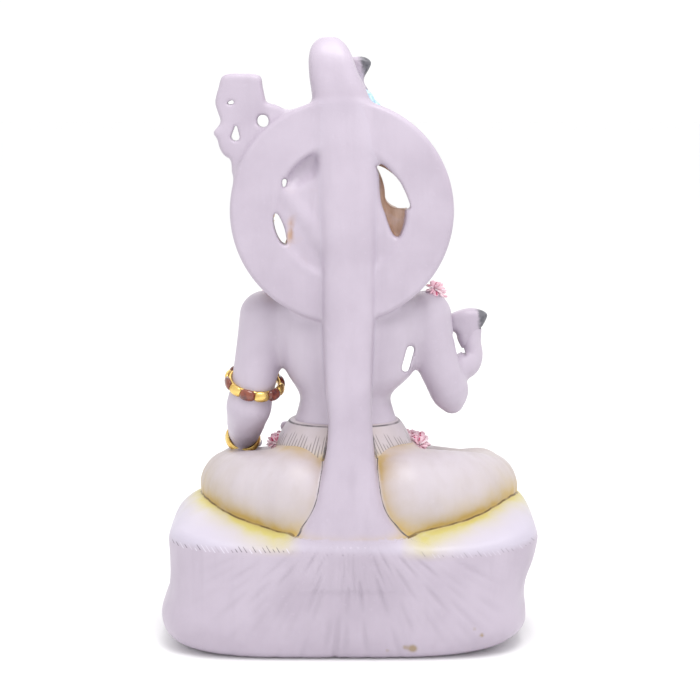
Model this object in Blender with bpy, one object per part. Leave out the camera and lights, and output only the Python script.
"""Seated marble deity statue with a halo ring, in metres, +Z up, front towards -Y, origin under the base.

The statue is one carved stone, so it has no joints. It is divided here where the carving divides it,
into sections that sit against each other with a hairline gap. Each section gives way to every section
listed before it in section_list, so no two solids share any space.
"""

import math

import bmesh
import bpy
from mathutils import Vector

MM = 0.001
GAP = 0.3  # between neighbouring sections

# Driving dimensions, in millimetres.
HEIGHT = 305.0
BASE_HALF_WIDTH = 95.0
BASE_HALF_DEPTH = 57.0
ROCK_TOP = 56.0
SEAT_TOP = 76.0
HALO_X, HALO_Z = 3.5, 220.3
HALO_OUTER, HALO_INNER = 55.0, 32.0
HALO_FRONT, HALO_BACK = 19.5, 30.5
WAIST = 113.0
NECK_BASE = 182.0
CHIN = 193.0
CROWN = 241.0
HEAD_X, HEAD_Y = 3.5, -6.0

# Skeleton points, in millimetres. The figure's own left is +X.
HIP_L, KNEE_L, ANKLE_L = (27, 25, 76), (58, -23.5, 77), (4, -40, 76)
HIP_R, KNEE_R, ANKLE_R = (-28, 25, 76), (-68, -21.5, 76.5), (6, -42, 92)
THIGH_L, THIGH_R = [((47.5, 15.5, 76), 21.7), ((60, -3.5, 77.3), 16.5)], [((-53, 15.5, 75), 22.5), ((-70, -2.5, 75.5), 17)]
TOES_L, TOES_R = (-44, -47, 73), (39, -27, 101)
SHOULDER_L, ELBOW_L, WRIST_L = (42.5, 3, 165), (51, 6, 119), (55.5, -16, 97)
FINGERS_L = (56, -50, 91)
SHOULDER_R, ELBOW_R, WRIST_R = (-39, 3, 165), (-52, 3, 124), (-43, -34, 141)
LOCK_L = [((23, 5, 224), 3.5), ((26, 6, 212), 5.5), ((27.5, 5, 197), 6), ((29, -3, 183), 5.5), ((27, -13, 171), 4)]
LOCK_R = [((-17, 5, 230), 3), ((-19.5, 6, 217), 5), ((-21.5, 5, 203), 6.5), ((-22.5, -2, 187), 6), ((-20, -13, 172), 4)]
GARLAND = [
    (-43, 6, 179), (-45.5, -6, 173.5), (-38, -19, 160), (-24, -24, 146), (-18, -25, 130), (-23, -25, 114),
    (-33, -22, 102), (-20, -29, 97), (-6, -31, 96), (8, -31, 96), (22, -29, 97), (34, -22, 102),
    (24, -25, 114), (18, -25, 130), (23, -24, 146), (34, -19, 160), (40, -8, 173), (38, 5, 178.5),
]

PAINTS = {
    "marble": ((0.80, 0.76, 0.84), 0.35, 0.0),
    "marble_skin": ((0.82, 0.78, 0.85), 0.35, 0.0),
    "marble_cloth": ((0.83, 0.77, 0.72), 0.40, 0.0),
    "hair": ((0.30, 0.17, 0.10), 0.50, 0.0),
    "gold": ((0.83, 0.60, 0.18), 0.25, 1.0),
    "garnet": ((0.22, 0.05, 0.03), 0.15, 0.0),
    "cobra": ((0.16, 0.15, 0.17), 0.35, 0.0),
    "water": ((0.55, 0.75, 0.90), 0.30, 0.0),
    "beads": ((0.28, 0.12, 0.06), 0.60, 0.0),
    "petals": ((0.93, 0.55, 0.68), 0.60, 0.0),
}


def clear_scene():
    for thing in list(bpy.data.objects):
        bpy.data.objects.remove(thing)


def paint(name):
    """The named Principled material, made on first use."""
    found = bpy.data.materials.get(name)
    if found:
        return found
    colour, roughness, metallic = PAINTS[name]
    made = bpy.data.materials.new(name)
    made.use_nodes = True
    shader = made.node_tree.nodes["Principled BSDF"]
    shader.inputs["Base Color"].default_value = (*colour, 1.0)
    shader.inputs["Roughness"].default_value = roughness
    shader.inputs["Metallic"].default_value = metallic
    return made


def add_object(name, mesh_builder, material):
    """Finishes a bmesh: outward faces, smooth rounds, one object at the origin."""
    bmesh.ops.recalc_face_normals(mesh_builder, faces=mesh_builder.faces)
    mesh = bpy.data.meshes.new(name)
    mesh_builder.to_mesh(mesh)
    mesh_builder.free()
    mesh.shade_smooth()
    mesh.set_sharp_from_angle(angle=math.radians(40))
    made = bpy.data.objects.new(name, mesh)
    made.data.materials.append(paint(material))
    bpy.context.scene.collection.objects.link(made)
    return made


def oval(centre, across, along, half_a, half_b, power, segments):
    """Points of a superellipse: power 2 is an ellipse, and more is boxier."""
    points = []
    for i in range(segments):
        turn = 2 * math.pi * (i + 0.5) / segments
        c, s = math.cos(turn), math.sin(turn)
        a = math.copysign(abs(c) ** (2 / power), c) * half_a
        b = math.copysign(abs(s) ** (2 / power), s) * half_b
        points.append((Vector(centre) + across * a + along * b) * MM)
    return points


def skin_rings(name, rings, material):
    """One closed solid through rings of points, capped flat at both ends."""
    builder = bmesh.new()
    loops = [[builder.verts.new(p) for p in ring] for ring in rings]
    count = len(loops[0])
    for low, high in zip(loops, loops[1:]):
        for i in range(count):
            j = (i + 1) % count
            builder.faces.new((low[i], low[j], high[j], high[i]))
    builder.faces.new(loops[0])
    builder.faces.new(list(reversed(loops[-1])))
    return add_object(name, builder, material)


def stack(name, material, levels, power=2.0, segments=16):
    """Level sections piled up: each level is (z, middle x, middle y, half width, half depth)."""
    x, y = Vector((1, 0, 0)), Vector((0, 1, 0))
    rings = [oval((mx, my, z), x, y, hx, hy, power, segments) for z, mx, my, hx, hy in levels]
    return skin_rings(name, rings, material)


def limb(name, material, stations, flat=1.0, segments=10):
    """A round-ended tube through stations of (point, radius); flat thins it along its upper side."""
    points = [Vector(p) for p, _ in stations]
    radii = [r for _, r in stations]
    last = len(points) - 1
    start = (points[1] - points[0]).normalized()
    side = start.orthogonal() if abs(start.z) > 0.9 else start.cross(Vector((0, 0, 1)))
    rings = []
    for i, (point, radius) in enumerate(zip(points, radii)):
        ahead = (points[min(i + 1, last)] - points[max(i - 1, 0)]).normalized()
        side = (side - ahead * side.dot(ahead)).normalized()
        upward = side.cross(ahead)
        steps = [(0.0, 1.0)]
        if i == 0:
            steps = [(-0.9, 0.42), (-0.55, 0.83), (0.0, 1.0)]
        if i == last:
            steps = [(0.0, 1.0), (0.55, 0.83), (0.9, 0.42)]
        for shift, share in steps:
            centre = point + ahead * radius * shift
            rings.append(oval(centre, side, upward, radius * share, radius * share * flat, 2, segments))
    return skin_rings(name, rings, material)


def band(name, material, centre, axis, middle, half_wide, half_high, segments=16, corners=6, power=3):
    """A ring with an oval section around axis: middle is the radius to the section's middle."""
    axis = Vector(axis).normalized()
    side = axis.orthogonal().normalized()
    other = axis.cross(side)
    builder = bmesh.new()
    loops = []
    for i in range(segments):
        turn = 2 * math.pi * i / segments
        out = side * math.cos(turn) + other * math.sin(turn)
        section = oval(Vector(centre) + out * middle, out, axis, half_wide, half_high, power, corners)
        loops.append([builder.verts.new(p) for p in section])
    for low, high in zip(loops, loops[1:] + loops[:1]):
        for i in range(corners):
            j = (i + 1) % corners
            builder.faces.new((low[i], low[j], high[j], high[i]))
    return add_object(name, builder, material)


def slab(name, material, outline, front, back, bevel):
    """An upright plate: an outline of (x, z) points, extruded from front to back and bevelled."""
    builder = bmesh.new()
    loops = [[builder.verts.new(Vector((x, y, z)) * MM) for x, z in outline] for y in (front, back)]
    count = len(outline)
    for i in range(count):
        j = (i + 1) % count
        builder.faces.new((loops[0][i], loops[0][j], loops[1][j], loops[1][i]))
    builder.faces.new(loops[0])
    builder.faces.new(list(reversed(loops[1])))
    made = add_object(name, builder, material)
    edge = made.modifiers.new("edge", "BEVEL")
    edge.width = bevel * MM
    edge.segments = 2
    edge.limit_method = "ANGLE"
    edge.angle_limit = math.radians(50)
    return made


def bore_through(target, centre, radius, stretch=1.0, lean=0.0):
    """Cuts an oval hole through target along Y."""
    cx, cz = centre
    along = Vector((math.sin(lean), 0, math.cos(lean)))
    across = Vector((math.cos(lean), 0, -math.sin(lean)))
    rings = [oval((cx, y, cz), across, along, radius, radius * stretch, 2, 12) for y in (-60, 60)]
    cutter = skin_rings("hole_" + target.name, rings, "marble")
    hide_helper(cutter)
    subtract(target, cutter)


def hide_helper(thing):
    thing.hide_render = True
    thing.display_type = "WIRE"


def subtract(target, cutter):
    cut = target.modifiers.new("minus_" + cutter.name, "BOOLEAN")
    cut.operation = "DIFFERENCE"
    cut.solver = "EXACT"
    cut.use_self = True
    cut.object = cutter


# ---------------------------------------------------------------- base and back


def rock_base():
    """The rock: a full, slightly waisted block with round corners and a flat foot."""
    w, d = BASE_HALF_WIDTH, BASE_HALF_DEPTH
    levels = [
        (0, 0, 0, w - 6, d - 4),
        (4, 0, 0, w - 1.5, d - 1),
        (12, 0, 0, w, d),
        (30, -0.5, 0, w - 1.5, d),
        (46, -1, 0, w - 1, d - 1),
        (ROCK_TOP, -1, 0, w - 2, d - 2),
    ]
    return stack("rock_base", "marble", levels, power=3.6, segments=32)


def seat_skin():
    """The skin spread over the rock: a low dome, lower at the back edge."""
    w, d = BASE_HALF_WIDTH - 2, BASE_HALF_DEPTH - 2
    levels = [
        (ROCK_TOP - 6, -1, 0, w, d),
        (ROCK_TOP + 3, -1, 0, w - 0.5, d - 1.5),
        (ROCK_TOP + 9, -1, -2, w - 5, d - 9),
        (ROCK_TOP + 14, -1, -4, w - 12, d - 18),
        (ROCK_TOP + 18, -1, -5, w - 24, d - 28),
        (SEAT_TOP, -1, -6, w - 42, d - 40),
    ]
    return stack("seat_skin", "marble_cloth", levels, power=3.0, segments=28)


def halo_ring():
    """The flat ring behind the head, turned about the front-to-back axis."""
    middle = (HALO_OUTER + HALO_INNER) / 2
    centre = (HALO_X, (HALO_FRONT + HALO_BACK) / 2, HALO_Z)
    half_wide = (HALO_OUTER - HALO_INNER) / 2
    half_thick = (HALO_BACK - HALO_FRONT) / 2
    return band("halo_ring", "marble", centre, (0, 1, 0), middle, half_wide, half_thick, 40, 8, power=6)


def back_pillar():
    """The strut from the base's back to the top: wide at its foot, leaning and rounded at its head."""
    levels = [
        (ROCK_TOP - 6, -2, 42, 34, 12),
        (61, -2, 42, 29, 12.5),
        (70, 0, 41, 21.5, 12.5),
        (81, 0, 39, 16.6, 12.5),
        (99, 0, 36, 12, 12),
        (WAIST, -0.5, 33, 11.2, 12),
        (134, 0, 30, 11.5, 12),
        (178, 0.3, 26, 13, 11.5),
        (220, 0.5, 23, 13.8, 11.5),
        (262, 1.5, 21, 14.6, 11),
        (277, 4, 20.5, 13.8, 10.5),
        (288, 7.5, 20, 12, 9.5),
        (297, 9.3, 19.5, 9.6, 8),
        (302.5, 10, 19, 6.4, 5.5),
        (HEIGHT, 10, 19, 2.6, 2.4),
    ]
    return stack("back_pillar", "marble", levels, power=3.4, segments=16)


# ---------------------------------------------------------------- trident and drum

TRIDENT_FRONT, TRIDENT_BACK = 13.0, 22.0


def trident_head():
    """The three prongs and the web of stone between them, in one plate beside the halo."""
    outline = [
        (56, 240), (61.5, 246), (63.5, 252), (67, 259), (64, 264), (67, 273.5), (65.5, 281),
        (62.5, 287.5), (45, 287), (42.5, 281), (41.5, 273.5), (37, 271.5), (32, 268), (42, 250),
    ]
    plate = slab("trident_head", "marble", outline, TRIDENT_FRONT, TRIDENT_BACK, 2.0)
    bore_through(plate, (55.6, 258.4), 2.4, 1.9, -0.06)
    return plate


def trident_shaft():
    """The shaft, leaning from the shoulder up to the prongs, with one turned knob."""
    foot, top, knob = Vector((28, 10, 176)), Vector((47.5, 12, 251)), 0.55
    stations = [(foot, 2.3)]
    for share, radius in ((-0.05, 2.3), (-0.01, 3.9), (0.01, 3.9), (0.05, 2.3)):
        stations.append((foot.lerp(top, knob + share), radius))
    stations.append((top, 2.3))
    return limb("trident_shaft", "gold", stations, segments=8)


def drum():
    """The hourglass drum tied to the shaft below the prongs."""
    middle = Vector((47.5, 9, 240))
    along = Vector((0.95, -0.05, 0.3)).normalized()
    stations = [(-8, 5.6), (-4, 3.6), (0, 2.6), (4, 3.6), (8, 5.6)]
    upward = along.cross(Vector((0, 1, 0))).normalized()
    outward = along.cross(upward)
    rings = [oval(middle + along * s, outward, upward, r, r, 2, 12) for s, r in stations]
    return skin_rings("drum", rings, "beads")


# ---------------------------------------------------------------- legs and cloth


def hip_drape():
    """The cloth over the hips, spreading from the waist to the back edge of the seat."""
    levels = [
        (ROCK_TOP + 2, -2, 12, 42, 41),
        (66, -2, 11.5, 47, 40),
        (76, -1, 9.5, 48, 36),
        (88, 0, 7, 43.4, 29.7),
        (98.5, 1, 6, 36, 24),
    ]
    return stack("hip_drape", "marble_cloth", levels, power=2.6, segments=20)


def waistband():
    """The fur band of the garment, lower at the back."""
    levels = [(94, 1, 6, 37.5, 26), (102, 1.5, 5.5, 36, 23.5), (108, 1.8, 5, 34, 21.5), (WAIST, 1.8, 4.5, 31, 20)]
    return stack("waistband", "marble_cloth", levels, power=2.3, segments=20)


def thigh(side, hip, between, knee):
    return limb(side + "_thigh", "marble_cloth", [(hip, 25), *between, (knee, 14.5)], segments=14)


def shin(side, knee, ankle):
    middle = Vector(knee).lerp(Vector(ankle), 0.5) + Vector((0, -5, 2))
    return limb(side + "_shin", "marble_cloth", [(knee, 13), (middle, 11), (ankle, 7.5)], segments=12)


def foot(side, ankle, toes):
    middle = Vector(ankle).lerp(Vector(toes), 0.45) + Vector((0, 0, 2))
    return limb(side + "_foot", "marble_skin", [(ankle, 7.2), (middle, 6.8), (toes, 5.6)], flat=0.72, segments=10)


# ---------------------------------------------------------------- trunk and arms


def torso():
    levels = [
        (WAIST - 6, 1.8, 4.5, 31, 20),
        (WAIST + 4, 1.8, 4, 25.5, 18),
        (125, 1.8, 4, 23.2, 17.5),
        (136, -0.5, 4, 33, 19.5),
        (150, 0, 4, 36, 22),
        (163, 0, 5, 38, 21.5),
        (172, 1, 6, 37, 18),
        (178, 2, 6, 29, 14.5),
        (NECK_BASE + 1, 3, 4, 15, 11.5),
    ]
    return stack("torso", "marble_skin", levels, power=2.4, segments=20)


def upper_arm(side, shoulder, middle, elbow, swell, elbow_radius):
    stations = [(shoulder, 13), (middle, swell), (elbow, elbow_radius)]
    return limb(side + "_upper_arm", "marble_skin", stations, segments=12)


def forearm(side, elbow, wrist, thick):
    middle = Vector(elbow).lerp(Vector(wrist), 0.4)
    return limb(side + "_forearm", "marble_skin", [(elbow, thick), (middle, thick * 0.97), (wrist, 6.6)])


def left_hand():
    """Palm down on the knee."""
    knuckles = Vector(WRIST_L).lerp(Vector(FINGERS_L), 0.5) + Vector((0, 0, 2))
    stations = [(WRIST_L, 6.4), (knuckles, 7.6), (FINGERS_L, 5.5)]
    return limb("left_hand", "marble_skin", stations, flat=0.6, segments=10)


def right_hand():
    """Raised, palm forward, fingers up."""
    x, y, z = WRIST_R
    levels = [
        (z - 2, x, y, 6, 5),
        (z + 3, x + 0.5, y - 0.5, 7, 5),
        (z + 11, x + 1.5, y - 1.5, 8.6, 4.2),
        (z + 19, x + 2.5, y - 2, 8.4, 3.4),
        (z + 26, x + 3, y - 2, 7.4, 2.8),
        (z + 30.5, x + 3.5, y - 2, 5.2, 2.2),
    ]
    return stack("right_hand", "marble_skin", levels, power=2.6, segments=12)


# ---------------------------------------------------------------- head and hair


def neck():
    return limb("neck", "marble_skin", [((3, 1, 176), 11), ((HEAD_X, -2, CHIN + 8), 9.5)], segments=12)


def head():
    cx, cy = HEAD_X, HEAD_Y
    levels = [
        (CHIN, cx, cy - 8, 4.5, 4),
        (CHIN + 3, cx, cy - 7, 8.5, 7.5),
        (CHIN + 9, cx, cy - 4, 13.4, 13),
        (CHIN + 17, cx, cy - 1, 16.2, 17.5),
        (CHIN + 26, cx, cy, 17.3, 19),
        (CHIN + 35, cx, cy + 1, 16.8, 18.5),
        (CHIN + 42, cx, cy + 2, 13.2, 14.5),
        (CROWN, cx, cy + 2, 6.5, 7),
    ]
    return stack("head", "marble_skin", levels, segments=18)


def hair_back():
    """The mass of hair behind the head, which fills the halo's opening but for a gap on each side."""
    levels = [
        (174, 5, 10, 20, 7.5),
        (186, 5, 10, 22, 8.5),
        (200, 3, 12, 26, 11),
        (210, 3, 13, 27, 12),
        (219, 3.6, 13, 26.4, 12),
        (224.5, 9, 13, 22.6, 12),
        (234, 10.3, 12, 23.4, 11.5),
        (243, 8.5, 9, 18, 10),
        (248, 6, 7, 9, 7),
    ]
    return stack("hair_back", "hair", levels, power=2.4)


def side_lock(side, stations):
    """A lock of hair from behind the ear over the shoulder, in front of the halo."""
    return limb(side + "_lock", "hair", stations, segments=8)


def hair_crown():
    """The hair drawn up over the skull."""
    cx, cy = HEAD_X, HEAD_Y
    levels = [
        (223, cx, cy + 6, 19.4, 17.5),
        (231, cx, cy + 3.5, 19.2, 20),
        (238, cx, cy + 3, 17, 18),
        (244, cx, cy + 3, 13, 14),
        (248, cx, cy + 3, 9, 10),
    ]
    return stack("hair_crown", "hair", levels)


def topknot():
    """The tall knot of coiled hair on the crown."""
    x, y = HEAD_X + 1, HEAD_Y + 7
    levels = [
        (248, x, y, 11.5, 11),
        (256, x + 0.5, y, 13, 12),
        (266, x + 1, y + 1, 12, 11),
        (276, x + 2, y + 3, 9.8, 9.5),
        (286, x + 3, y + 5, 7.4, 7.5),
        (293, x + 4, y + 7, 4.2, 4.2),
    ]
    return stack("topknot", "hair", levels)


def hair_tie():
    return band("hair_tie", "beads", (HEAD_X + 1, HEAD_Y + 7, 246.5), (0, 0, 1), 11.6, 2.2, 2.2)


def crescent_moon():
    """A thin crescent standing on the front of the knot."""
    points = []
    for i in range(9):
        turn = math.radians(-160 + 140 * i / 8)
        thick = 0.7 + 1.9 * math.sin(math.pi * i / 8)
        points.append(((HEAD_X + 4 + 9 * math.cos(turn), HEAD_Y - 5.5, 266 + 9 * math.sin(turn)), thick))
    return limb("crescent_moon", "gold", points, flat=0.9, segments=8)


def water_stream():
    """The painted fall of water down the knot's right side."""
    stations = [
        ((-3, 11, 284), 2.4),
        ((-10, 10, 275), 3.2),
        ((-12.5, 12, 268), 3.2),
        ((-16, 14, 260), 2.8),
    ]
    return limb("water_stream", "water", stations, segments=8)


def ear(side, sign):
    return limb(side + "_ear", "marble_skin", [((HEAD_X + sign * 18, -3, 208), 2.6), ((HEAD_X + sign * 18.6, -2, 219), 3.2)], segments=8)


def earring(side, sign):
    return band(side + "_earring", "gold", (HEAD_X + sign * 19, -5, 200.5), (1, 0.2, 0), 3.6, 1.2, 1.5, segments=12)


# ---------------------------------------------------------------- ornaments and snakes


def armlet():
    """The banded armlet just above the left elbow: a tilted ring with room for its stones."""
    return band("armlet", "gold", (48, 4.5, 131), (-0.16, 0.36, 1), 13.2, 1.9, 2.7)


def armlet_stone(number, turn):
    """One garnet-coloured segment, set over the band."""
    centre, axis = Vector((48, 4.5, 131)), Vector((-0.16, 0.36, 1)).normalized()
    side = axis.orthogonal().normalized()
    other = axis.cross(side)
    rings = []
    for i in range(4):
        angle = math.radians(turn + 34 * (i - 1.5) / 3)
        out = side * math.cos(angle) + other * math.sin(angle)
        shrink = 1 if 0 < i < 3 else 0.75
        rings.append(oval(centre + out * 15.4, out, axis, 1.5 * shrink, 2.9 * shrink, 3, 8))
    return skin_rings(f"armlet_stone_{number}", rings, "garnet")


def bracelet(side, wrist, ahead, middle):
    return band(side + "_bracelet", "gold", wrist, ahead, middle, 1.5, 2.4)


def necklace():
    """A string of beads round the neck and over the chest."""
    return band("bead_necklace", "beads", (2.5, -6, 176.5), (0, 0.62, 1), 19.5, 2.0, 2.0, segments=24)


def long_beads():
    """The longer string, down to the middle of the chest."""
    points = []
    for i in range(13):
        turn = math.radians(200 + 140 * i / 12)
        points.append(((2 + 21 * math.cos(turn), -17.5 + 3.2 * math.sin(turn), 170 + 27 * math.sin(turn)), 2.3))
    return limb("long_beads", "beads", points, segments=8)


def garland():
    """The flower garland, over both shoulders and down to the lap."""
    return limb("garland", "petals", [(point, 4.2) for point in GARLAND], segments=8)


def arm_cobra():
    """The snake's coil outside the right forearm, rising beside the arm."""
    stations = [
        ((-58.5, -9, 133.5), 3.4),
        ((-63.5, -9, 137), 4.4),
        ((-65.2, -9, 142), 4.4),
        ((-63.5, -9, 147), 3.9),
        ((-62.5, -9, 151), 3.7),
    ]
    return limb("arm_cobra", "marble_skin", stations)


def arm_cobra_hood():
    """The spread hood, with the head bent outwards."""
    levels = [
        (149, -62.5, -8.5, 3.6, 3.4),
        (155, -62.5, -9, 6, 3.8),
        (161, -63, -9.5, 8, 4.2),
        (165, -64.5, -10.5, 8, 4.4),
        (167.5, -65, -11, 5, 3.4),
    ]
    return stack("arm_cobra_hood", "cobra", levels, segments=12)


def knot_cobra():
    """The small snake on the right of the topknot."""
    stations = [
        ((-6, 4, 269), 2.8),
        ((-8.5, 2, 278), 2.7),
        ((-7, 1, 286), 2.5),
        ((-5, 0.5, 292), 2.6),
    ]
    return limb("knot_cobra", "cobra", stations, segments=8)


def section_list():
    """All sections, in the order in which they keep their shape: a later one is cut by an earlier one."""
    return [
        rock_base(),
        halo_ring(),
        armlet(),
        bracelet("left", (55.3, -13.5, 98.5), (0.15, -0.68, -0.72), 8.3),
        bracelet("right", (-44.5, -30, 138.8), (0.32, -0.84, 0.44), 8.2),
        left_hand(),
        right_hand(),
        head(),
        necklace(),
        long_beads(),
        garland(),
        crescent_moon(),
        knot_cobra(),
        earring("left", 1),
        earring("right", -1),
        ear("left", 1),
        ear("right", -1),
        arm_cobra_hood(),
        foot("left", ANKLE_L, TOES_L),
        foot("right", ANKLE_R, TOES_R),
        hair_tie(),
        water_stream(),
        topknot(),
        hair_crown(),
        drum(),
        trident_shaft(),
        trident_head(),
        torso(),
        upper_arm("left", SHOULDER_L, (45.5, 4, 147), ELBOW_L, 12, 10.5),
        upper_arm("right", SHOULDER_R, (-44, 4, 146), ELBOW_R, 10.8, 9.5),
        forearm("left", ELBOW_L, WRIST_L, 10),
        forearm("right", (-55.5, 0, 124), WRIST_R, 9.5),
        arm_cobra(),
        *[armlet_stone(n + 1, 24 + 60 * n) for n in range(6)],
        neck(),
        side_lock("left", LOCK_L),
        side_lock("right", LOCK_R),
        hair_back(),
        waistband(),
        thigh("left", HIP_L, THIGH_L, KNEE_L),
        thigh("right", HIP_R, THIGH_R, KNEE_R),
        shin("right", KNEE_R, ANKLE_R),
        shin("left", KNEE_L, ANKLE_L),
        hip_drape(),
        seat_skin(),
        back_pillar(),
    ]


def inflated(section, pieces):
    """Adds to pieces a copy of the section, larger by the gap all round."""
    graph = bpy.context.evaluated_depsgraph_get()
    mesh = bpy.data.meshes.new_from_object(section.evaluated_get(graph))
    for vertex, normal in zip(mesh.vertices, [v.normal.copy() for v in mesh.vertices]):
        vertex.co += normal * GAP * 1.3 * MM
    pieces.append((section, mesh))


def box_of(mesh):
    low = Vector([min(v.co[k] for v in mesh.vertices) for k in range(3)])
    high = Vector([max(v.co[k] for v in mesh.vertices) for k in range(3)])
    return low, high


def boxes_meet(first, second):
    (low_a, high_a), (low_b, high_b) = box_of(first), box_of(second)
    return all(low_a[k] <= high_b[k] and low_b[k] <= high_a[k] for k in range(3))


def joined(name, meshes):
    """One hidden cutter holding all the meshes."""
    builder = bmesh.new()
    for mesh in meshes:
        builder.from_mesh(mesh)
    whole = bpy.data.meshes.new(name)
    builder.to_mesh(whole)
    builder.free()
    cutter = bpy.data.objects.new(name, whole)
    bpy.context.scene.collection.objects.link(cutter)
    hide_helper(cutter)
    return cutter


def clear_each_other(sections):
    """Cuts each section back from all that come before it, then closes up slivers."""
    pieces = []
    for section in sections:
        inflated(section, pieces)
    for i, (section, own) in enumerate(pieces):
        meeting = [mesh for _, mesh in pieces[:i] if boxes_meet(own, mesh)]
        if not meeting:
            continue
        subtract(section, joined("clear_" + section.name, meeting))
        weld = section.modifiers.new("slivers", "WELD")
        weld.merge_threshold = 0.02 * MM


def main():
    clear_scene()
    sections = section_list()
    bpy.context.view_layer.update()
    clear_each_other(sections)


main()
